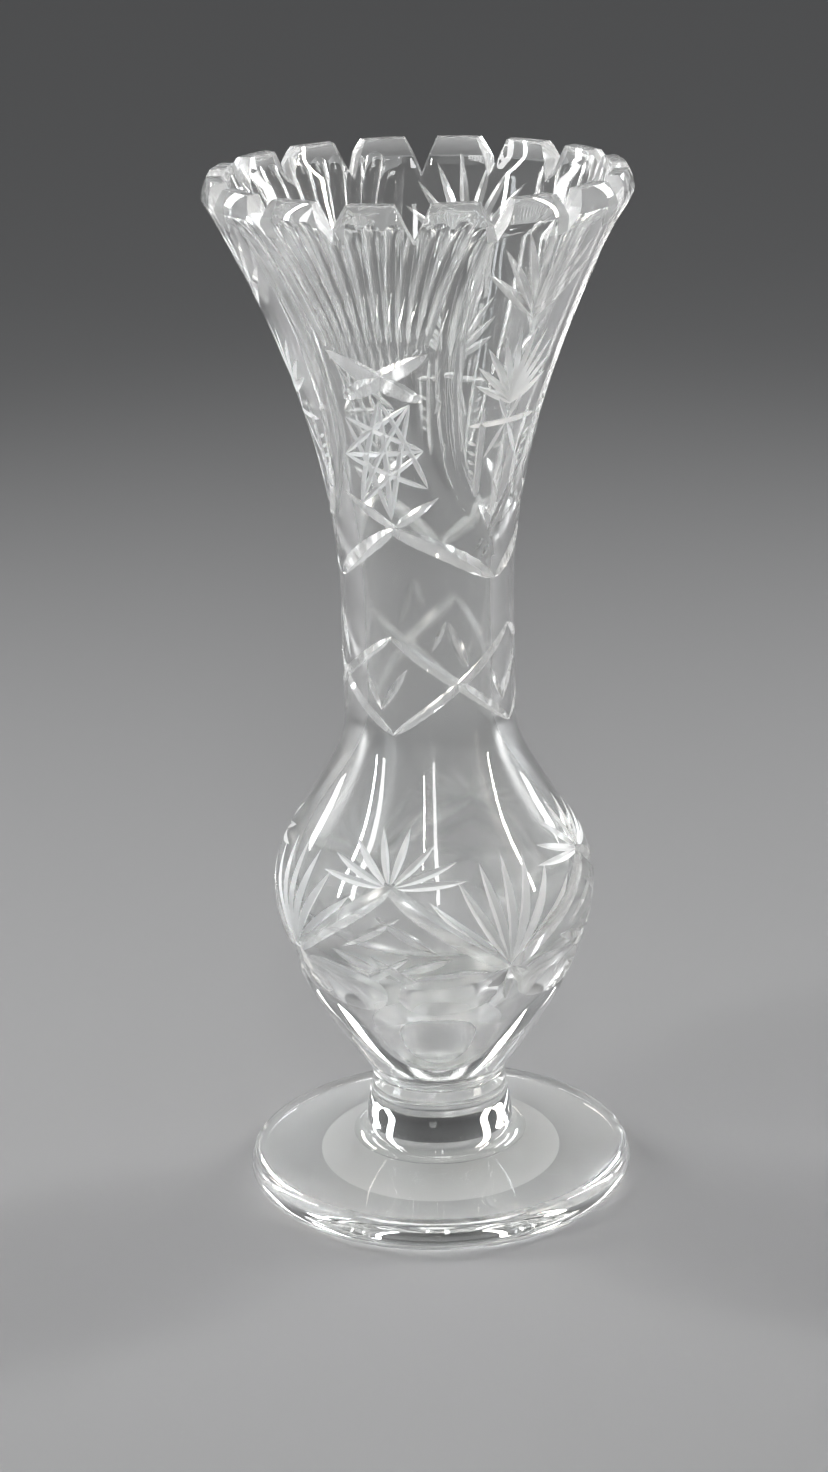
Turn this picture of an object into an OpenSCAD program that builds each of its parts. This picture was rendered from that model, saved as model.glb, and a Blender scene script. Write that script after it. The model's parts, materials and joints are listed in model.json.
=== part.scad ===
// Footed vase in cut lead crystal: a foot, a solid stem, a merese and a blown bowl,
// made apart and fused hot, face to face. The bowl is then ground with V-edged wheels.
// Millimetres, +Z up, origin on the table at the middle of the foot.

/* [Foot] */
// Diameter of the foot at its widest
foot_d = 104; // [80:1:130]
// Height of the foot at the stem
foot_h = 12.5; // [11:0.5:18]
// Thickness of the foot at its rounded edge
foot_edge_h = 8.8; // [6:0.2:10]
// Diameter of the ground hollow under the foot
pontil_d = 63; // [40:1:70]
// Depth of the ground hollow under the foot
pontil_depth = 1.8; // [0.5:0.1:4]

/* [Stem and merese] */
// Height of the solid stem
stem_h = 18.5; // [12:0.5:30]
// Diameter of the stem where it meets the foot
stem_base_d = 47; // [42:1:56]
// Diameter of the stem above its fillet
stem_d = 39.5; // [36:0.5:41]
// Height of the fillet at the foot of the stem
stem_fillet_h = 5; // [3:0.5:8]
// Diameter of the stem at the merese
stem_top_d = 36; // [30:0.5:36]
// Height of the merese, the wafer of glass between stem and bowl
merese_h = 4; // [3:0.5:6]
// Diameter of the merese at its waist
merese_waist_d = 35; // [28:0.5:36]

/* [Bowl] */
// Height of the bowl, from the merese to the tops of the teeth
bowl_h = 240; // [200:1:300]
// Diameter of the bowl where it meets the merese
bowl_base_d = 40; // [36:0.5:48]
// Widest diameter of the bulb
bulb_d = 85.2; // [70:0.2:104]
// Height of the widest part of the bulb above the merese
bulb_h = 52; // [42:1:62]
// Diameter of the neck
neck_d = 45; // [38:0.5:56]
// Height above the merese where the neck begins
neck_low_h = 98; // [80:1:116]
// Height above the merese where the neck ends and the flare begins
neck_top_h = 130; // [120:1:152]
// Widest diameter, just under the teeth
rim_d = 108; // [90:1:130]
// How late the flare opens: 1 is a straight cone
flare_bend = 1.85; // [1.4:0.05:2.4]
// Height of the lip above the widest ring
lip_h = 5.5; // [4:0.5:9]
// How far the lip turns in at the top
lip_turn = 1.7; // [0:0.1:3]

/* [Walls] */
// Solid glass under the hollow
floor_h = 5; // [3:0.5:12]
// Diameter of the hollow's narrow tip
tip_d = 28; // [16:1:36]
// Height of the hollow's narrow tip
tip_h = 17; // [12:1:22]
// Wall of the bulb at its widest
bulb_wall = 5; // [4.4:0.2:9]
// Wall of the neck
neck_wall = 6.2; // [4:0.2:8]
// Wall of the flare at its widest
rim_wall = 6.4; // [4:0.2:8]
// Wall of the lip at the tops of the teeth
lip_wall = 3.6; // [2.4:0.2:5]

/* [Teeth] */
// Number of teeth round the rim
teeth = 16; // [12:1:20]
// Depth of the notch between two teeth
notch_depth = 9.5; // [6:0.5:14]
// Width of the notch at its mouth
notch_w = 9; // [6:0.5:12]
// Bearing of the first notch, from the front
notch_turn = -1.4; // [-11:0.1:11]

/* [Wheel cuts] */
// Full angle of the V edge of the cutting wheels
wheel_v = 100; // [80:5:120]
// Number of repeats of the pattern on the neck and the bulb
repeats = 4; // [3:1:5]
// Bearing of a crossing on the neck
neck_turn = 20; // [0:1:90]
// Height above the merese of the crossings on the neck
neck_cross_h = 112; // [108:0.5:116]
// Lean of the mitre cuts on the neck, from upright
neck_lean = 52; // [40:1:65]
// Radius of the wheel for the neck
neck_wheel_r = 60; // [40:5:90]
// Depth of the mitre cuts on the neck
neck_cut = 2.6; // [1:0.1:3]
// How much shallower the second cut of a crossing is
cross_step = 0.2; // [0.1:0.05:0.5]
// Bearing of a low fan on the bulb
bulb_turn = 26; // [0:1:90]
// Radius of the wheel for the bulb
bulb_wheel_r = 60; // [40:5:90]
// Depth of the mitre cuts on the bulb
bulb_cut = 2.8; // [1:0.1:3.5]
// Lean of the long mitre cuts that join the fans, from upright
long_lean = 52; // [40:1:60]
// Lean of the cuts in a low fan, from upright
fan_lean = 24; // [15:1:35]
// Bearing of a fan's cuts from the fan's middle
fan_spread = 8; // [5:0.5:12]
// Height of the cuts' middles below the widest part of the bulb
fan_drop = 1; // [0.5:0.5:6]
// Number of upright flutes in each of the three fans on the flare
flutes = 6; // [3:1:8]
// Bearing of the first fan of flutes
flute_turn = -17; // [-60:1:60]
// Bearing from one flute to the next
flute_step = 8; // [6:0.5:9]
// Height of the flutes' middle below the widest ring
flute_drop = 16; // [14:1:24]
// Depth of the flutes
flute_cut = 2; // [1:0.1:3]
// Radius of the wheel for the flutes
flute_wheel_r = 70; // [50:5:90]

/* [Hidden] */
$fn = 96;
fans = 3;
// The hollow widens and narrows a little higher up than the outside does
hollow_rise = 1;
hollow_neck_rise = 2;
bulb_in_h = bulb_h + hollow_rise;
neck_in_h = neck_low_h + hollow_neck_rise;
ring_h = bowl_h - lip_h;
stem_z = foot_h;
merese_z = stem_z + stem_h;
bowl_z = merese_z + merese_h;
neck_r = neck_d / 2;
bulb_r = bulb_d / 2;
rim_r = rim_d / 2;
neck_in_r = neck_r - neck_wall;
bulb_in_r = bulb_r - bulb_wall;
rim_in_r = rim_r - rim_wall;
lip_r = rim_r - lip_turn;
// Slope of the bowl's outside where it leaves the merese
base_slope = 0.75;
// Shoulders of the curves, as [out, up] from the point that each curve starts or ends at
foot_brow = [-8.8, 0.4];
foot_rise = [4, -0.8];
stem_toe = [0.8, 0.6];
tip_throat = [5.6, 9.35];
tip_belly = -15;
lip_brow = -1;
glass = [0.86, 0.9, 0.92, 0.55];
// How far a cutter stands out of what it cuts
over = 1;

// A cubic with its heights h0, h1, radii r0, r1 and slopes s0, s1 given, as [radius, height] points
function sweep(h0, r0, s0, h1, r1, s1, n) = [
    for (i = [1:n])
        let (t = i / n, run = h1 - h0)
        [
            r0 * (2 * pow(t, 3) - 3 * pow(t, 2) + 1) + r1 * (3 * pow(t, 2) - 2 * pow(t, 3))
                + run * (s0 * (pow(t, 3) - 2 * pow(t, 2) + t) + s1 * (pow(t, 3) - pow(t, 2))),
            h0 + run * t
        ]
];

// A Bezier curve through p0 and p3, leaving out its first point
function bend(p0, p1, p2, p3, n) = [
    for (i = [1:n])
        let (t = i / n, u = 1 - t)
        pow(u, 3) * p0 + 3 * pow(u, 2) * t * p1 + 3 * u * pow(t, 2) * p2 + pow(t, 3) * p3
];

// The flare's opening from the neck's radius r0 to r1
function flare(r0, r1, n) = [
    for (i = [1:n])
        let (u = i / n)
        [r0 + (r1 - r0) * pow(u, flare_bend), neck_top_h + (ring_h - neck_top_h) * u]
];

// Radius of the uncut outside at a height in the neck or in the flare
function outer_r(h) =
    h <= neck_top_h ? neck_r
    : neck_r + (rim_r - neck_r) * pow((h - neck_top_h) / (ring_h - neck_top_h), flare_bend);

function reversed(list) = [for (i = [len(list) - 1:-1:0]) list[i]];

outside = concat(
    [[bowl_base_d / 2, 0]],
    sweep(0, bowl_base_d / 2, base_slope, bulb_h, bulb_r, 0, 8),
    sweep(bulb_h, bulb_r, 0, neck_low_h, neck_r, 0, 8),
    [[neck_r, neck_top_h]],
    flare(neck_r, rim_r, 10),
    bend([rim_r, ring_h], [rim_r, ring_h + lip_h / 2], [lip_r, bowl_h + lip_brow], [lip_r, bowl_h], 3)
);

inside = concat(
    [[0, floor_h]],
    bend([0, floor_h], [tip_d / 4, floor_h], [tip_d / 3, floor_h + tip_h / 2],
        [tip_d / 2, floor_h + tip_h], 4),
    bend([tip_d / 2, floor_h + tip_h], [tip_d / 2, floor_h + tip_h] + tip_throat,
        [bulb_in_r, bulb_in_h + tip_belly], [bulb_in_r, bulb_in_h], 6),
    sweep(bulb_in_h, bulb_in_r, 0, neck_in_h, neck_in_r, 0, 8),
    [[neck_in_r, neck_top_h]],
    flare(neck_in_r, rim_in_r, 10),
    [[lip_r - lip_wall, bowl_h]]
);

module foot() {
    edge_r = foot_edge_h / 2;
    color(glass)
        difference() {
            rotate_extrude()
                polygon(concat(
                    [[0, 0]],
                    [
                        for (a = [-90:15:75])
                            [foot_d / 2 - edge_r + edge_r * cos(a), edge_r + edge_r * sin(a)]
                    ],
                    bend([foot_d / 2 - edge_r, foot_edge_h], [foot_d / 2 - edge_r, foot_edge_h] + foot_brow,
                        [stem_base_d / 2, foot_h] + foot_rise, [stem_base_d / 2, foot_h], 6),
                    [[0, foot_h]]
                ));
            // The ground hollow is a shallow cap of a sphere, so the foot rests on a ring
            cap_r = (pow(pontil_d / 2, 2) + pow(pontil_depth, 2)) / (2 * pontil_depth);
            translate([0, 0, pontil_depth - cap_r])
                sphere(r = cap_r);
        }
}

module stem() {
    color(glass)
        translate([0, 0, stem_z])
            rotate_extrude()
                polygon(concat(
                    [[0, 0], [stem_base_d / 2, 0]],
                    bend([stem_base_d / 2, 0], [stem_d / 2, 0] + stem_toe,
                        [stem_d / 2, stem_fillet_h / 2], [stem_d / 2, stem_fillet_h], 5),
                    bend([stem_d / 2, stem_fillet_h], [stem_d / 2, stem_h / 2],
                        [stem_top_d / 2, stem_h * 0.7], [stem_top_d / 2, stem_h], 4),
                    [[0, stem_h]]
                ));
}

module merese() {
    color(glass)
        translate([0, 0, merese_z])
            rotate_extrude()
                polygon(concat(
                    [[0, 0], [stem_top_d / 2, 0]],
                    bend([stem_top_d / 2, 0], [merese_waist_d / 2, merese_h * 0.2],
                        [merese_waist_d / 2, merese_h * 0.6], [bowl_base_d / 2, merese_h], 6),
                    [[0, merese_h]]
                ));
}

// A wheel's V edge standing on the outside at a bearing and a height, sunk to a depth.
// slope tips it with the wall, and lean turns its cut away from upright.
module wheel(bearing, h, r_wall, slope, lean, wheel_r, depth) {
    edge_w = 2 * depth * tan(wheel_v / 2) + over;
    edge_drop = edge_w / tan(wheel_v / 2);
    rotate([0, 0, bearing - 90])
        translate([r_wall, 0, h])
            rotate([0, -slope, 0])
                rotate([lean, 0, 0])
                    translate([wheel_r - depth, 0, 0])
                        rotate([90, 0, 0])
                            for (side = [0, 1])
                                mirror([0, 0, side])
                                    cylinder(h = edge_w, r1 = wheel_r, r2 = wheel_r - edge_drop);
}

module notches() {
    mouth = notch_w * (notch_depth + over) / notch_depth;
    for (i = [0:teeth - 1])
        rotate([0, 0, notch_turn + i * 360 / teeth])
            translate([0, -neck_r, bowl_h - notch_depth])
                rotate([90, 0, 0])
                    linear_extrude(rim_r)
                        polygon([
                            [0, 0],
                            [mouth / 2, notch_depth + over],
                            [-mouth / 2, notch_depth + over]
                        ]);
}

module neck_mitres() {
    for (i = [0:repeats - 1], second = [0, 1])
        wheel(neck_turn + i * 360 / repeats, neck_cross_h, neck_r, 0, (2 * second - 1) * neck_lean,
            neck_wheel_r, neck_cut - second * cross_step);
}

// On the bulb each repeat has a low fan and, halfway round, a high fan, joined by long mitres
module bulb_mitres() {
    step = 360 / repeats;
    for (i = [0:repeats - 1], side = [-1, 1]) {
        wheel(bulb_turn + i * step + side * step / 4, bulb_h - fan_drop, bulb_r, 0,
            side * long_lean, bulb_wheel_r, bulb_cut);
        wheel(bulb_turn + i * step + side * fan_spread, bulb_h - fan_drop, bulb_r, 0,
            side * fan_lean, bulb_wheel_r, bulb_cut);
    }
}

module flare_flutes() {
    h = ring_h - flute_drop;
    rise = outer_r(h + 1) - outer_r(h - 1);
    slope = -atan(rise / 2);
    for (f = [0:fans - 1], i = [0:flutes - 1])
        wheel(flute_turn + f * 360 / fans + (i - (flutes - 1) / 2) * flute_step,
            h, outer_r(h), slope, 0, flute_wheel_r, flute_cut);
}

module bowl() {
    color(glass)
        translate([0, 0, bowl_z])
            difference() {
                rotate_extrude()
                    polygon(concat([[0, 0]], outside, reversed(inside)));
                notches();
                neck_mitres();
                bulb_mitres();
                flare_flutes();
            }
}

foot();
stem();
merese();
bowl();
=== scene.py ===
import bpy
import json
import math
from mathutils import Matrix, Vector

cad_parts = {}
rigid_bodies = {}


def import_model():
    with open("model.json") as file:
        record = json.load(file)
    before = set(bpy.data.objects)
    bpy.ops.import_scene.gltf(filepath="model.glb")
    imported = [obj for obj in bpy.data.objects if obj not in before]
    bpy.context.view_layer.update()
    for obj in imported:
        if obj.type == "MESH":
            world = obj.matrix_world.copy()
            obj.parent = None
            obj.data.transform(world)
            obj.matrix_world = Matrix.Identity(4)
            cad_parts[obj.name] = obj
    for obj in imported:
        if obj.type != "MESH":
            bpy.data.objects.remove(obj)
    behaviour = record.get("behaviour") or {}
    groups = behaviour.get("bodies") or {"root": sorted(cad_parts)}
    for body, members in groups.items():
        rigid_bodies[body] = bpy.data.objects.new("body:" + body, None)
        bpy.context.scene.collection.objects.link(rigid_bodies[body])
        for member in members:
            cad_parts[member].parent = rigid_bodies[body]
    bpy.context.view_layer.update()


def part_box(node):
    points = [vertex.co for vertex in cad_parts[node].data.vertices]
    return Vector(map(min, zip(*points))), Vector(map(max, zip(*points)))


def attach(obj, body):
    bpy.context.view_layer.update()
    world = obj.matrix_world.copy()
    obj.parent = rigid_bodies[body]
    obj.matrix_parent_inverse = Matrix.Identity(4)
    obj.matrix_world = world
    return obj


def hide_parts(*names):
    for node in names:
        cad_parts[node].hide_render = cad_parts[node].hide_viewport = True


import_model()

mm = 0.001
fuse = 0.06 * mm   # how far each piece runs into the next, as fused glass does
smoothBelow = 24   # degrees; sharper edges than this stay crisp
weld = 0.004 * mm

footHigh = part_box("foot")[1]
stemLow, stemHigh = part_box("stem")
mereseLow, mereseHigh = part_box("merese")
bowlLow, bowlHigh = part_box("bowl")


# Small helpers


def deselectAll():
    if bpy.context.object and bpy.context.object.mode != "OBJECT":
        bpy.ops.object.mode_set(mode="OBJECT")
    bpy.ops.object.select_all(action="DESELECT")


def useOnly(obj):
    deselectAll()
    bpy.context.view_layer.objects.active = obj
    obj.select_set(True)


def newCollection(name):
    made = bpy.data.collections.new(name)
    bpy.context.scene.collection.children.link(made)
    return made


def moveTo(obj, collection):
    for home in list(obj.users_collection):
        home.objects.unlink(obj)
    collection.objects.link(obj)


def selectWhole():
    bpy.ops.object.mode_set(mode="EDIT")
    bpy.ops.mesh.select_all(action="SELECT")


def faceOutwards():
    bpy.ops.mesh.select_all(action="SELECT")
    bpy.ops.mesh.normals_make_consistent(inside=False)
    bpy.ops.object.mode_set(mode="OBJECT")


def cutWith(piece, tools):
    # takes all the tools off the piece, and leaves each tool's finish on the faces that it cut
    useOnly(piece)
    cut = piece.modifiers.new("cut", "BOOLEAN")
    cut.operation = "DIFFERENCE"
    cut.solver = "MANIFOLD"
    cut.operand_type = "COLLECTION"
    cut.collection = tools
    cut.material_mode = "TRANSFER"
    bpy.ops.object.modifier_apply(modifier="cut")
    for tool in list(tools.objects):
        bpy.data.objects.remove(tool)
    bpy.data.collections.remove(tools)


def cubic(t, a, b, c, d):
    u = 1 - t
    return a * u ** 3 + 3 * b * u * u * t + 3 * c * u * t * t + d * t ** 3


def bend(a, b, c, d, steps):
    # a curve from a to d that leaves towards b and arrives from c
    return [(cubic(i / steps, a[0], b[0], c[0], d[0]), cubic(i / steps, a[1], b[1], c[1], d[1]))
            for i in range(1, steps + 1)]


def ease(t, r0, r1, slope, run):
    # radius between two heights, leaving the first with a slope and reaching the second upright
    return (r0 * (2 * t ** 3 - 3 * t * t + 1) + r1 * (3 * t * t - 2 * t ** 3)
            + run * slope * (t ** 3 - 2 * t * t + t))


# Glass. One recipe for the polished crystal and for what the wheels leave, from clear to satin grey.

wearLook = {"smearScale": 38, "smearDetail": 4, "smearTwist": 0.6, "smearFrom": 0.52, "smearTo": 0.8,
            "rollScale": 55, "rollDetail": 1, "lineScale": 2600, "lineDetail": 2}


def noise(group, given, scale, detail, twist=0):
    texture = group.nodes.new("ShaderNodeTexNoise")
    texture.inputs["Scale"].default_value = scale
    texture.inputs["Detail"].default_value = detail
    texture.inputs["Distortion"].default_value = twist
    group.links.new(given.outputs["Coordinates"], texture.inputs["Vector"])
    return texture.outputs["Fac"]


def sums(group, operation, *values):
    node = group.nodes.new("ShaderNodeMath")
    node.operation = operation
    for value, socket in zip(values, node.inputs):
        group.links.new(value, socket)
    return node.outputs[0]


def fade(tree, value, start, end, first, last):
    # one value as a straight ramp of another, held at both ends
    node = tree.nodes.new("ShaderNodeMapRange")
    node.inputs["From Min"].default_value = start
    node.inputs["From Max"].default_value = end
    node.inputs["To Min"].default_value = first
    node.inputs["To Max"].default_value = last
    tree.links.new(value, node.inputs["Value"])
    return node.outputs["Result"]


def wearGroup():
    # faint rinse marks and the roll of the hot glass, as a roughness and a bump height
    group = bpy.data.node_groups.new("glassWear", "ShaderNodeTree")
    face = group.interface
    face.new_socket("Coordinates", in_out="INPUT", socket_type="NodeSocketVector")
    for name in ("Base Roughness", "Smears", "Wheel Lines"):
        face.new_socket(name, in_out="INPUT", socket_type="NodeSocketFloat")
    for name in ("Roughness", "Height"):
        face.new_socket(name, in_out="OUTPUT", socket_type="NodeSocketFloat")
    given = group.nodes.new("NodeGroupInput")
    result = group.nodes.new("NodeGroupOutput")
    w = wearLook

    smear = noise(group, given, w["smearScale"], w["smearDetail"], w["smearTwist"])
    mask = fade(group, smear, w["smearFrom"], w["smearTo"], 0, 1)
    amount = sums(group, "MULTIPLY", mask, given.outputs["Smears"])
    rough = sums(group, "ADD", given.outputs["Base Roughness"], amount)
    group.links.new(rough, result.inputs["Roughness"])

    roll = noise(group, given, w["rollScale"], w["rollDetail"])
    lines = noise(group, given, w["lineScale"], w["lineDetail"])
    marks = sums(group, "MULTIPLY_ADD", lines, given.outputs["Wheel Lines"], roll)
    group.links.new(marks, result.inputs["Height"])
    return group


glassWear = wearGroup()
crystal = (0.98, 0.985, 0.98, 1)
crystalIor = 1.54


def glassMaterial(name, clear, rough, smears, lines, height, colour=crystal):
    mat = bpy.data.materials.new(name)
    mat.use_nodes = True
    nodes, links = mat.node_tree.nodes, mat.node_tree.links
    shader = nodes["Principled BSDF"]
    shader.inputs["Base Color"].default_value = colour
    shader.inputs["IOR"].default_value = crystalIor
    shader.inputs["Transmission Weight"].default_value = clear
    place = nodes.new("ShaderNodeTexCoord")
    wear = nodes.new("ShaderNodeGroup")
    wear.node_tree = glassWear
    wear.inputs["Base Roughness"].default_value = rough
    wear.inputs["Smears"].default_value = smears
    wear.inputs["Wheel Lines"].default_value = lines
    bump = nodes.new("ShaderNodeBump")
    bump.inputs["Strength"].default_value = 1
    bump.inputs["Distance"].default_value = height
    links.new(place.outputs["Object"], wear.inputs["Coordinates"])
    links.new(wear.outputs["Roughness"], shader.inputs["Roughness"])
    links.new(wear.outputs["Height"], bump.inputs["Height"])
    links.new(bump.outputs["Normal"], shader.inputs["Normal"])
    return mat


polished = glassMaterial("polishedCrystal", clear=1, rough=0, smears=0.035, lines=0, height=0.05 * mm)
mitreCut = glassMaterial("mitreCut", clear=0.84, rough=0.09, smears=0.1, lines=0.02, height=0.05 * mm)
satinCut = glassMaterial("satinCut", clear=0.66, rough=0.3, smears=0.12, lines=0.05, height=0.05 * mm,
                         colour=(0.95, 0.96, 0.96, 1))
lipEdge = glassMaterial("polishedEdge", clear=0.86, rough=0.16, smears=0.08, lines=0, height=0.04 * mm)
groundBase = glassMaterial("groundBase", clear=0.42, rough=0.2, smears=0.05, lines=0.03, height=0.04 * mm)

# standing water leaves a thin haze inside, whole up to one height and gone at the next
water = {"whole": 180 * mm, "gone": 240 * mm, "haze": 0.17}


def hazedMaterial():
    mat = glassMaterial("waterHaze", clear=0.97, rough=0, smears=0.1, lines=0, height=0.05 * mm)
    tree = mat.node_tree
    parts = tree.nodes.new("ShaderNodeSeparateXYZ")
    tree.links.new(tree.nodes["Texture Coordinate"].outputs["Object"], parts.inputs["Vector"])
    haze = fade(tree, parts.outputs["Z"], water["whole"], water["gone"], water["haze"], 0)
    tree.links.new(haze, tree.nodes["Group"].inputs["Base Roughness"])
    return mat


waterHaze = hazedMaterial()


def turn(name, outline, spokes):
    # draws half the section point by point, then spins it round the axis
    deselectAll()
    r, z = outline[0]
    bpy.ops.mesh.primitive_plane_add(size=mm, location=(r, 0, z))
    piece = bpy.context.object
    piece.name = name
    bpy.ops.object.transform_apply(location=True, rotation=True, scale=True)
    selectWhole()
    bpy.ops.mesh.merge(type="CENTER")
    for (r0, z0), (r1, z1) in zip(outline, outline[1:]):
        bpy.ops.mesh.extrude_vertices_move(TRANSFORM_OT_translate={"value": (r1 - r0, 0, z1 - z0)})
    bpy.ops.mesh.select_all(action="SELECT")
    bpy.ops.mesh.spin(steps=spokes, angle=math.tau, center=(0, 0, 0), axis=(0, 0, 1))
    bpy.ops.mesh.select_all(action="SELECT")
    bpy.ops.mesh.remove_doubles(threshold=weld)
    faceOutwards()
    piece.data.materials.append(polished)
    return piece


# The bowl's blank, as it leaves the glassblower

bowlShape = {
    "spokes": 240,
    "outerRings": 96,
    "innerRings": 64,
    "lipRings": (4, 3),       # outside and inside
    "bellySteps": 14,
    "tipSteps": 10,
    "baseZ": bowlLow.z,
    "height": bowlHigh.z - bowlLow.z,
    "baseR": 20 * mm,
    "baseSlope": 0.75,
    "bulbR": 42.6 * mm,
    "bulbH": 52 * mm,
    "neckR": 22.5 * mm,
    "neckLow": 98 * mm,
    "neckTop": 130 * mm,
    "rimR": bowlHigh.x,
    "flareBend": 1.85,
    "lipH": 5.5 * mm,
    "lipTurn": 1.7 * mm,
    "floor": 5 * mm,
    "tipR": 14 * mm,
    "tipH": 17 * mm,
    "bellyDrop": 15 * mm,     # how far the hollow stays wide below its widest ring
    "hollowRise": 1 * mm,     # the hollow widens a little higher up than the outside
    "hollowNeckRise": 2 * mm,
    "bulbWall": 5 * mm,
    "neckWall": 6.2 * mm,
    "rimWall": 6.4 * mm,
    "lipWall": 3.6 * mm,
}


def outsideR(h):
    # radius of the uncut glass at a height above the merese
    s = bowlShape
    ringH = s["height"] - s["lipH"]
    if h <= s["bulbH"]:
        return ease(h / s["bulbH"], s["baseR"], s["bulbR"], s["baseSlope"], s["bulbH"])
    if h <= s["neckLow"]:
        run = s["neckLow"] - s["bulbH"]
        return ease((h - s["bulbH"]) / run, s["bulbR"], s["neckR"], 0, run)
    if h <= s["neckTop"]:
        return s["neckR"]
    u = min(1, (h - s["neckTop"]) / (ringH - s["neckTop"]))
    r = s["neckR"] + (s["rimR"] - s["neckR"]) * u ** s["flareBend"]
    if h > ringH:
        r -= s["lipTurn"] * ((h - ringH) / s["lipH"]) ** 2
    return r


def insideR(h):
    # radius of the hollow, from its widest ring up to the mouth
    s = bowlShape
    ringH = s["height"] - s["lipH"]
    bulbIn, neckIn, rimIn = s["bulbR"] - s["bulbWall"], s["neckR"] - s["neckWall"], s["rimR"] - s["rimWall"]
    low, narrow = s["bulbH"] + s["hollowRise"], s["neckLow"] + s["hollowNeckRise"]
    if h <= narrow:
        return ease(max(0, (h - low) / (narrow - low)), bulbIn, neckIn, 0, narrow - low)
    if h <= s["neckTop"]:
        return neckIn
    u = min(1, (h - s["neckTop"]) / (ringH - s["neckTop"]))
    r = neckIn + (rimIn - neckIn) * u ** s["flareBend"]
    if h > ringH:
        lipIn = s["rimR"] - s["lipTurn"] - s["lipWall"]
        r += (lipIn - rimIn) * (h - ringH) / s["lipH"]
    return r


def bowlOutline():
    s = bowlShape
    lip, low = s["height"] - s["lipH"], s["bulbH"] + s["hollowRise"]
    lipRings, innerLipRings = s["lipRings"]
    outer = [i / s["outerRings"] * lip for i in range(s["outerRings"] + 1)]
    outer += [lip + i / lipRings * s["lipH"] for i in range(1, lipRings + 1)]
    inner = [s["height"] - i / innerLipRings * s["lipH"] for i in range(innerLipRings)]
    inner += [lip - i / s["innerRings"] * (lip - low) for i in range(s["innerRings"] + 1)]
    # below its widest ring the hollow is a belly, then a round-ended tip
    wide = (s["bulbR"] - s["bulbWall"], low)
    tip = (s["tipR"], s["floor"] + s["tipH"])
    belly = bend(wide, (wide[0], low - s["bellyDrop"]),
                 (s["tipR"] * 1.4, s["floor"] + s["tipH"] * 1.55), tip, s["bellySteps"])
    bottom = bend(tip, (s["tipR"] / 1.5, s["floor"] + s["tipH"] / 2),
                  (s["tipR"] / 2, s["floor"]), (0, s["floor"]), s["tipSteps"])
    section = [(outsideR(h), h) for h in outer] + [(insideR(h), h) for h in inner] + belly + bottom
    z = s["baseZ"]
    return [(0, z - fuse), (s["baseR"], z - fuse)] + [(r, z + h) for r, h in section]


rim = {
    "teeth": 16,
    "turn": -1.4,            # bearing of the first notch, in degrees
    "depth": 9.5 * mm,
    "mouth": 8.6 * mm,
    "above": 4 * mm,         # how far the notching tool stands over the rim
    "reach": (25 * mm, 65 * mm),
    "round": 1.7 * mm,
    "segments": 6,
    "sharp": 38,             # edges sharper than this are rounded by the flame
}


def layNotch(notches, bearing):
    bpy.ops.mesh.primitive_cylinder_add(vertices=3, radius=1, depth=1, location=(0, 0, 0))
    notch = bpy.context.object
    side = Vector((math.cos(bearing), math.sin(bearing), 0))
    out = Vector((math.sin(bearing), -math.cos(bearing), 0))
    bottom = Vector((0, 0, bowlHigh.z - rim["depth"]))
    high = rim["depth"] + rim["above"]
    half = rim["mouth"] / 2 * high / rim["depth"]
    near, far = rim["reach"]
    for v in notch.data.vertices:
        # the corner that points along Y is the notch's bottom
        corner = round(math.degrees(math.atan2(v.co.x, v.co.y))) % 360
        across, up = {0: (0, 0), 120: (half, high), 240: (-half, high)}[corner]
        along = (near + far) / 2 + v.co.z * (far - near)
        v.co = side * across + out * along + bottom + Vector((0, 0, up))
    useOnly(notch)
    selectWhole()
    faceOutwards()
    notch.data.materials.append(lipEdge)
    moveTo(notch, notches)


def cutTeeth(bowl):
    deselectAll()
    notches = newCollection("notches")
    for i in range(rim["teeth"]):
        layNotch(notches, math.radians(rim["turn"] + i * 360 / rim["teeth"]))
    cutWith(bowl, notches)
    # the teeth are flame polished: every sharp edge up there is rounded
    useOnly(bowl)
    softly = bowl.modifiers.new("soften", "BEVEL")
    softly.width = rim["round"]
    softly.segments = rim["segments"]
    softly.limit_method = "ANGLE"
    softly.angle_limit = math.radians(rim["sharp"])
    softly.material = bowl.data.materials.find("polishedEdge")
    bpy.ops.object.modifier_apply(modifier="soften")


# The cutting wheels. Each is a short bar of tool stock with its section across, and stations along it
# that are laid on the glass one by one, the way a cutter rolls the vase against the wheel.

wheels = {
    "mitre": {"angle": 104, "high": 5 * mm, "finish": mitreCut},
    "deep": {"angle": 84, "high": 5 * mm, "finish": mitreCut},
    "ray": {"angle": 100, "high": 5 * mm, "finish": satinCut},
    "fine": {"angle": 92, "high": 3 * mm, "finish": satinCut},
    "flute": {"round": 6.5 * mm, "corners": 28, "stations": 28, "finish": polished},
    "olive": {"round": 3.6 * mm, "corners": 28, "finish": polished},
    "broad": {"round": 14 * mm, "corners": 60, "finish": mitreCut},
}
clearance = 0.03 * mm   # the tip starts this far off the glass, so that no cut grazes it
longStations, shortStations = 16, 10
bars = {}


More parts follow.
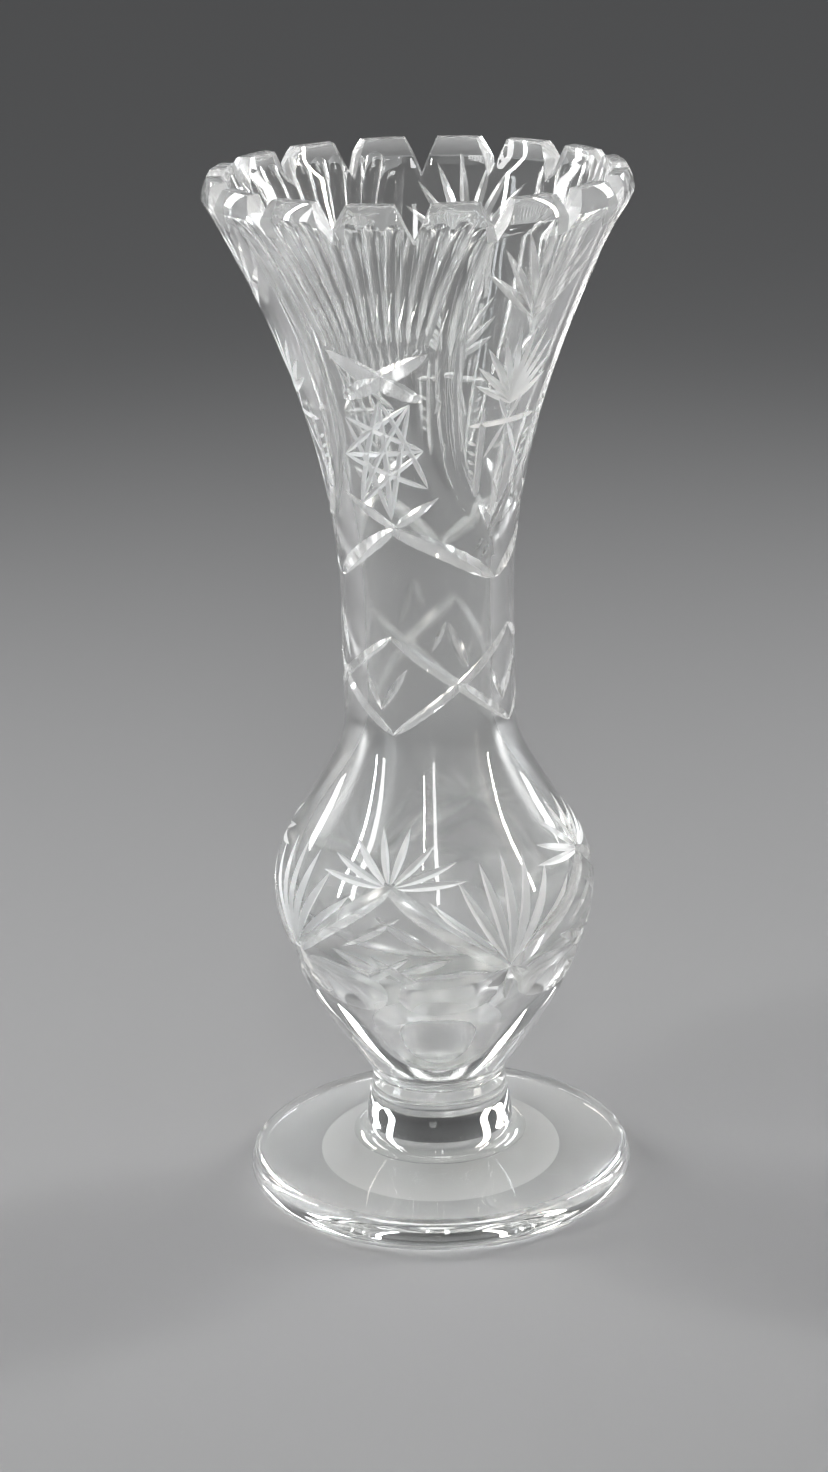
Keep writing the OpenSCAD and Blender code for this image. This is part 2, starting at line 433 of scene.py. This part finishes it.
def toolBar(wheel, stations):
    if (wheel, stations) in bars:
        return bars[wheel, stations]
    stock = wheels[wheel]
    deselectAll()
    if "angle" in stock:
        wide = stock["high"] * math.tan(math.radians(stock["angle"] / 2))
        section = [(0, 0), (wide, stock["high"]), (-wide, stock["high"])]
    else:
        r, n = stock["round"], stock["corners"]
        section = [(r * math.sin(i / n * math.tau), r - r * math.cos(i / n * math.tau)) for i in range(n)]
    bpy.ops.mesh.primitive_circle_add(vertices=len(section), radius=1, fill_type="NGON")
    bar = bpy.context.object
    for (across, up), v in zip(section, bar.data.vertices):
        v.co = (across, up, 0)
    selectWhole()
    for i in range(stations):
        bpy.ops.mesh.extrude_region_move(TRANSFORM_OT_translate={"value": (0, 0, 1)})
    faceOutwards()
    bar.data.materials.append(stock["finish"])
    bars[wheel, stations] = bar
    return bar


def between(points, t):
    # a smooth line through the points, in bearing and height
    if len(points) == 2:
        (a0, z0), (a1, z1) = points
        return a0 + (a1 - a0) * t, z0 + (z1 - z0) * t
    spans = len(points) - 1
    i = min(int(t * spans), spans - 1)
    u = t * spans - i
    near = [points[max(0, min(spans, k))] for k in (i - 1, i, i + 1, i + 2)]
    return [0.5 * (2 * b + (c - a) * u + (2 * a - 5 * b + 4 * c - d) * u * u
                   + (3 * b - a - 3 * c + d) * u ** 3) for a, b, c, d in zip(*near)]


def onGlass(bearing, z):
    # a point of the uncut outside and the way out of the glass there
    h = z * mm - bowlShape["baseZ"]
    step = 0.2 * mm
    r = outsideR(h)
    slope = (outsideR(h + step) - outsideR(h - step)) / (2 * step)
    a = math.radians(bearing)
    out = Vector((math.sin(a), -math.cos(a), -slope)).normalized()
    return Vector((r * math.sin(a), -r * math.cos(a), z * mm)), out


def sink(t, shape):
    # how deep the wheel stands along its cut, from 0 at the ends to 1
    u = abs(2 * t - 1)
    if shape == "leaf":
        return 1 - u * u
    if shape == "long":
        return 1 - u ** 5
    if shape == "top":
        return (1 - u ** 6) * (1 - 0.6 * t)
    if shape == "head":
        return (1 - u ** 8) * (1 - 0.75 * t)
    return 1 - u ** 3


def layCut(tools, cut):
    wheel, depth, shape, points = cut
    stations = wheels[wheel].get("stations", longStations if shape == "long" else shortStations)
    bar = toolBar(wheel, stations)
    tool = bpy.data.objects.new("tool", bar.data.copy())
    tools.objects.link(tool)
    spots = [onGlass(*between(points, i / stations)) for i in range(stations + 1)]
    places = []
    for i, (spot, out) in enumerate(spots):
        along = spots[min(i + 1, stations)][0] - spots[max(i - 1, 0)][0]
        side = out.cross(along).normalized()
        edge = spot - out * (depth * mm * sink(i / stations, shape) - clearance)
        places.append((edge, side, out))
    for v in tool.data.vertices:
        edge, side, out = places[round(v.co.z)]
        v.co = edge + side * v.co.x + out * v.co.y


# The pattern. Each cut is a wheel, a depth in millimetres, a shape and the line that it follows.
# Bearings are degrees round the vase from the front, heights are millimetres above the table.

flare = {
    "panels": 3,
    "turn": -18,
    "flutes": 11,
    "star": 208,     # height of the star's middle
    "starTips": [(1, 15.8), (14.5, 15), (20, 2.2), (22, -8.2), (0, -17), (-18.8, -13.5), (-23, 0),
                 (-18, 10.6)],
    "bow": [(36, 269), (32.5, 258), (29.3, 242), (28.6, 229.6), (29.6, 221.5), (31.4, 213), (37, 202.5),
            (47, 193.5), (59, 185.8), (73, 178)],
    "lowFan": [(20, 227), (20, 232), (17, 237), (10.5, 239.5), (4, 241)],
    "highFan": [(22, 257), (18, 263), (12, 267.5), (5, 270)],
    "ticks": 5,
}


def flutePanel(c):
    cuts = []
    half = flare["flutes"] // 2
    for i in range(-half, half + 1):
        cuts.append(("olive", 1.45, "top", [(c + 6.1 * i, 271), (c + 3.4 * i, 231 + 0.2 * i * i)]))
    # the crossed mitres above and below the star
    for s in (-1, 1):
        cuts.append(("mitre", 2.0, "round", [(c + 20.5 * s, 236.5), (c + s, 229.5), (c - 18 * s, 223.5)]))
        cuts.append(("deep", 1.5, "leaf", [(c - 3 + 29 * s, 197.5), (c - 5 * s, 187.6)]))
    # their lower arms run on to meet the next panel's
    cuts.append(("deep", 2.4, "round", [(c + 1, 189.3), (c - 27, 181), (c - 53, 173.2)]))
    cuts.append(("deep", 2.4, "round", [(c - 7, 189.3), (c + 27, 183), (c + 67, 173.2)]))
    return cuts


def starCuts(c):
    # eight tips, each joined to the third one on, and three of them to the one opposite
    tips = [(c - 2 + a, flare["star"] + z) for a, z in flare["starTips"]]
    joined = [(i, (i + jump) % 8) for i in range(8) for jump in ((3, 4) if i < 3 else (3,))]
    return [("fine", 0.75, "long", [tips[i], tips[j]]) for i, j in joined]


def pointedPanel(v):
    # between two bows: two fans, one over the other, and a stem of small cuts
    cuts = []
    for s in (-1, 1):
        for a, z in flare["lowFan"]:
            cuts.append(("ray", 0.9, "leaf", [(v + s * a, z), (v - s, 220.5)]))
        for a, z in flare["highFan"]:
            cuts.append(("mitre", 1.1, "leaf", [(v + s * a, z), (v - s, 242.5)]))
        cuts.append(("fine", 0.8, "long", [(v + s * 21, 216), (v - s * 6, 216)]))
        cuts.append(("mitre", 0.9, "long", [(v + s * 14, 221), (v + s * 13, 193.5)]))
        cuts.append(("fine", 0.7, "leaf", [(v, 216), (v + s * 11, 206.5)]))
        cuts.append(("fine", 0.7, "leaf", [(v, 216), (v + s * 8, 224)]))
        for j in range(flare["ticks"]):
            cuts.append(("fine", 0.5, "leaf", [(v + s * (21 - 0.6 * j), 212 - 2.6 * j),
                                               (v + s * 15.5, 210.5 - 2.6 * j)]))
    cuts.append(("mitre", 1.1, "leaf", [(v, 213), (v, 189)]))
    return cuts


def flareCuts():
    cuts = []
    pitch = 360 / flare["panels"]
    for k in range(flare["panels"]):
        c = flare["turn"] + k * pitch
        cuts += flutePanel(c) + starCuts(c)
        # the pair of wide polished flutes that bow round the panel
        for s in (-1, 1):
            cuts.append(("flute", 1.7, "head", [(c + s * a, z) for a, z in flare["bow"]]))
        cuts += pointedPanel(c + pitch / 2)
    return cuts


neck = {"repeats": 4, "turn": 20, "peak": 159.8, "cross": 146.4, "valley": 133, "half": 46}


def neckCuts():
    cuts = []
    for k in range(neck["repeats"]):
        c = neck["turn"] + k * 360 / neck["repeats"]
        for s in (-1, 1):
            cuts.append(("deep", 1.5, "long", [(c - neck["half"] * s, neck["peak"]), (c, neck["cross"]),
                                               (c + neck["half"] * s, neck["valley"])]))
        # small leaves over each crossing and under each peak, a little off the mitres as hand work is
        cuts.append(("mitre", 0.9, "leaf", [(c - 7, 164), (c + 7, 151)]))
        cuts.append(("mitre", 0.7, "leaf", [(c - 8, 164), (c - 18, 156)]))
        cuts.append(("mitre", 0.9, "leaf", [(c - 34, 151.5), (c - 54, 139.5)]))
        cuts.append(("mitre", 0.8, "leaf", [(c - 66, 149.5), (c - 53, 139.5)]))
    return cuts


bulb = {
    "repeats": 4,
    "highTurn": -17,
    "lowTurn": 28,
    "highFan": [(30, 99.5), (26.5, 104), (18, 108.3), (6.5, 111.6)],
    "lowFan": [(30, 95), (19.5, 100), (10, 103.5)],
}


def bulbCuts():
    cuts = []
    for k in range(bulb["repeats"]):
        high = bulb["highTurn"] + k * 360 / bulb["repeats"]
        low = bulb["lowTurn"] + k * 360 / bulb["repeats"]
        for s in (-1, 1):
            for a, z in bulb["highFan"]:
                cuts.append(("ray", 0.95, "leaf", [(high, 97.8), (high + s * a, z)]))
            # mitres that fall from each high fan, crossed by shorter ones
            cuts.append(("deep", 2.8, "long", [(high - 3 * s, 99.5), (high + 47 * s, 73.5)]))
            cuts.append(("mitre", 1.1, "leaf", [(high - 5 * s, 91), (high + 18 * s, 81)]))
            cuts.append(("mitre", 1.2, "leaf", [(high + 23 * s, 79.5), (high + 3 * s, 75)]))
            cuts.append(("mitre", 1.2, "leaf", [(high - 8 * s, 80), (high + 22 * s, 65.5)]))
            for a, z in bulb["lowFan"]:
                cuts.append(("ray", 1.3, "leaf", [(low, 75), (low + s * a, z)]))
            # broad facets under the low fan, which step the outline in
            cuts.append(("broad", 2.3, "round", [(low + 4 * s, 70), (low + 43 * s, 67)]))
            cuts.append(("mitre", 1.3, "leaf", [(low - 2 * s, 76), (low + 13 * s, 65)]))
            cuts.append(("mitre", 1.5, "leaf", [(low - 2 * s, 76), (low + 29 * s, 62.5)]))
        cuts.append(("ray", 1.2, "leaf", [(low, 75), (low, 105)]))
        cuts.append(("mitre", 1.2, "leaf", [(low, 76), (low, 64)]))
    return cuts


bowl = turn("cutBowl", bowlOutline(), bowlShape["spokes"])
bowl.data.materials.append(waterHaze)
for face in bowl.data.polygons:
    if face.normal.xy.dot(face.center.xy) < 0:   # only the inner wall faces the axis
        face.material_index = 1
cutTeeth(bowl)
print("bowl blank and teeth:", len(bowl.data.polygons), "faces")

tools = newCollection("tools")
allCuts = flareCuts() + neckCuts() + bulbCuts()
for cut in allCuts:
    layCut(tools, cut)
cutWith(bowl, tools)
for bar in bars.values():
    bpy.data.objects.remove(bar)
print("cuts:", len(allCuts), "leaving", len(bowl.data.polygons), "faces")


# Foot, stem and wafer

footShape = {"spokes": 192, "hollowRings": 16, "edgeSteps": 24, "topSteps": 14,
             "hollowR": 31.5 * mm, "hollowDeep": 1.8 * mm, "edgeR": 4.4 * mm, "brow": 0.4 * mm,
             "shoulder": (27.5 * mm, 0.8 * mm), "seatR": 23.5 * mm}


def footOutline():
    s = footShape
    edge, hollow, deep = s["edgeR"], s["hollowR"], s["hollowDeep"]
    wide, top = footHigh.x, footHigh.z
    cap = (hollow ** 2 + deep ** 2) / (2 * deep)   # radius of the ball that ground the hollow
    across = [hollow * i / s["hollowRings"] for i in range(s["hollowRings"] + 1)]
    points = [(r, deep - cap + math.sqrt(cap ** 2 - r ** 2)) for r in across]
    points += [(wide - edge + edge * math.sin(a), edge - edge * math.cos(a))
               for a in [math.radians(i * 180 / s["edgeSteps"]) for i in range(s["edgeSteps"] + 1)]]
    shoulderR, shoulderDrop = s["shoulder"]
    points += bend(points[-1], (wide - 3 * edge, 2 * edge + s["brow"]), (shoulderR, top - shoulderDrop),
                   (s["seatR"], top), s["topSteps"])
    return points + [(s["seatR"], top + fuse), (0, top + fuse)]


stemShape = {"spokes": 160, "filletSteps": 16, "shankSteps": 12, "waistR": 19.75 * mm,
             "topR": 18 * mm, "fillet": 5 * mm, "toe": (0.8 * mm, 0.6 * mm)}


def stemOutline():
    s = stemShape
    low, high = stemLow.z, stemHigh.z
    base, waist, top = stemHigh.x, s["waistR"], s["topR"]
    fillet = low + s["fillet"]
    toeOut, toeUp = s["toe"]
    points = [(0, low - fuse), (base, low - fuse), (base, low)]
    points += bend((base, low), (waist + toeOut, low + toeUp), (waist, low + s["fillet"] / 2),
                   (waist, fillet), s["filletSteps"])
    points += bend((waist, fillet), (waist, (low + high) / 2), (top, low + 0.7 * (high - low)),
                   (top, high), s["shankSteps"])
    return points + [(top, high + fuse), (0, high + fuse)]


waferShape = {"spokes": 160, "steps": 12, "baseR": 18 * mm, "waistR": 17.5 * mm, "topR": 20 * mm}


def waferOutline():
    s = waferShape
    low, high = mereseLow.z, mereseHigh.z
    tall = high - low
    points = [(0, low - fuse), (s["baseR"], low - fuse), (s["baseR"], low)]
    points += bend((s["baseR"], low), (s["waistR"], low + 0.2 * tall), (s["waistR"], low + 0.6 * tall),
                   (s["topR"], high), s["steps"])
    return points + [(s["topR"], high + fuse), (0, high + fuse)]


foot = turn("footDisc", footOutline(), footShape["spokes"])
# the hollow underneath is ground, and shows through the foot as a pale disc
foot.data.materials.append(groundBase)
for face in foot.data.polygons:
    if face.center.xy.length < footShape["hollowR"] and face.center.z < footShape["hollowDeep"]:
        face.material_index = 1
stem = turn("solidStem", stemOutline(), stemShape["spokes"])
merese = turn("wafer", waferOutline(), waferShape["spokes"])
print("foot, stem and wafer turned")


for piece, node, slot in ((bowl, "bowl", "cut_glass"), (foot, "foot", "foot_glass"),
                          (stem, "stem", "stem_glass"), (merese, "merese", "merese_glass")):
    useOnly(piece)
    bpy.ops.object.shade_smooth_by_angle(angle=math.radians(smoothBelow))
    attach(piece, "root")
    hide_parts(node)


# Floor, light and camera

floorLook = {"size": 12, "ahead": 3, "drop": 0.05 * mm, "colour": (0.5, 0.5, 0.505, 1), "roughness": 0.7}


def layFloor():
    deselectAll()
    middle = (0, floorLook["ahead"], -floorLook["drop"])
    bpy.ops.mesh.primitive_plane_add(size=floorLook["size"], location=middle)
    floor = bpy.context.object
    floor.name = "floor"
    bpy.ops.object.transform_apply(location=True)
    mat = bpy.data.materials.new("paleFloor")
    mat.use_nodes = True
    shader = mat.node_tree.nodes["Principled BSDF"]
    shader.inputs["Base Color"].default_value = floorLook["colour"]
    shader.inputs["Roughness"].default_value = floorLook["roughness"]
    floor.data.materials.append(mat)


layFloor()


def softbox(name, place, aimHeight, wide, high, watts, spread, tint=(1, 1, 1)):
    bpy.ops.object.light_add(type="AREA", location=place)
    lamp = bpy.context.object
    lamp.name = name
    lamp.data.shape = "RECTANGLE"
    lamp.data.size, lamp.data.size_y = wide, high
    lamp.data.energy = watts
    lamp.data.spread = math.radians(spread)
    lamp.data.color = tint
    lamp.visible_camera = False
    lamp.rotation_euler = (Vector((0, 0, aimHeight)) - Vector(place)).to_track_quat("-Z", "Y").to_euler()
    return lamp


# each lamp has its place, the height it aims at, its width and height, watts, spread and tint
softbox("top", (0, 0, 0.95), 0.15, 0.6, 0.5, 1.3, 180)
softbox("backLeft", (-0.8, 0.4, 0.62), 0.15, 0.13, 0.7, 1.6, 120)
softbox("backRight", (0.8, 0.45, 0.62), 0.15, 0.13, 0.7, 1.6, 120)
softbox("left", (-0.9, -0.5, 0.62), 0.16, 0.08, 0.7, 1.1, 120)
softbox("front", (0.06, -1.3, 0.9), 0.1, 0.07, 0.9, 1.6, 140)

# stronger lights that reach the glass alone, so that the pale floor stays calm behind it
glassOnly = bpy.data.collections.new("glassOnly")
for piece in (bowl, foot, stem, merese):
    glassOnly.objects.link(piece)
glassLamps = (
    softbox("panel", (0, 0.05, 1.0), 0.16, 0.8, 0.4, 9, 160),
    softbox("keyLeft", (-0.9, -0.3, 0.6), 0.16, 0.04, 0.8, 5, 160, (0.93, 0.97, 1)),
    softbox("keyRight", (0.92, -0.25, 0.6), 0.16, 0.04, 0.8, 5, 160, (1, 0.95, 0.88)),
    softbox("keyFront", (-0.2, -1.2, 1.0), 0.16, 0.025, 0.5, 2.5, 160, (1, 0.98, 0.95)),
    softbox("rimLeft", (-0.5, 0.8, 0.6), 0.16, 0.12, 0.5, 4, 160, (1, 0.96, 0.9)),
    softbox("rimRight", (0.55, 0.75, 0.6), 0.16, 0.12, 0.5, 4, 160, (0.94, 0.98, 1)),
)
for lamp in glassLamps:
    lamp.light_linking.receiver_collection = glassOnly


# soft light from the sides at the height of the horizon, dimmer overhead and behind
room = {"colour": (0.97, 0.985, 1, 1), "low": 0.65, "high": 0.16, "overhead": 0.55,
        "behind": 0.35, "middle": 0.15, "side": 0.85}


def lightRoom():
    world = bpy.data.worlds.new("room")
    bpy.context.scene.world = world
    world.use_nodes = True
    tree = world.node_tree
    place = tree.nodes.new("ShaderNodeTexCoord")
    parts = tree.nodes.new("ShaderNodeSeparateXYZ")
    tree.links.new(place.outputs["Generated"], parts.inputs["Vector"])
    up = fade(tree, parts.outputs["Z"], 0, room["overhead"], room["low"], room["high"])
    sideways = sums(tree, "ABSOLUTE", parts.outputs["X"])
    across = fade(tree, sideways, room["middle"], room["side"], room["behind"], 1)
    background = tree.nodes["Background"]
    tree.links.new(sums(tree, "MULTIPLY", up, across), background.inputs["Strength"])
    background.inputs["Color"].default_value = room["colour"]


lightRoom()

# light goes through many faces of cut glass before it leaves
bounces = {"all": 36, "glossy": 16}
scene = bpy.context.scene
scene.cycles.max_bounces = bounces["all"]
scene.cycles.transmission_bounces = bounces["all"]
scene.cycles.glossy_bounces = bounces["glossy"]

shot = {"place": (0, -0.825, 0.4122), "turn": (70.85, 1.4, -0.18), "lens": 81.1, "sensor": 36,
        "nearest": 0.01}
bpy.ops.object.camera_add(location=shot["place"], rotation=[math.radians(a) for a in shot["turn"]])
camera = bpy.context.object
camera.data.lens = shot["lens"]
camera.data.sensor_width = shot["sensor"]
camera.data.clip_start = shot["nearest"]
scene.camera = camera
scene.view_settings.view_transform = "Standard"
print("stage set")
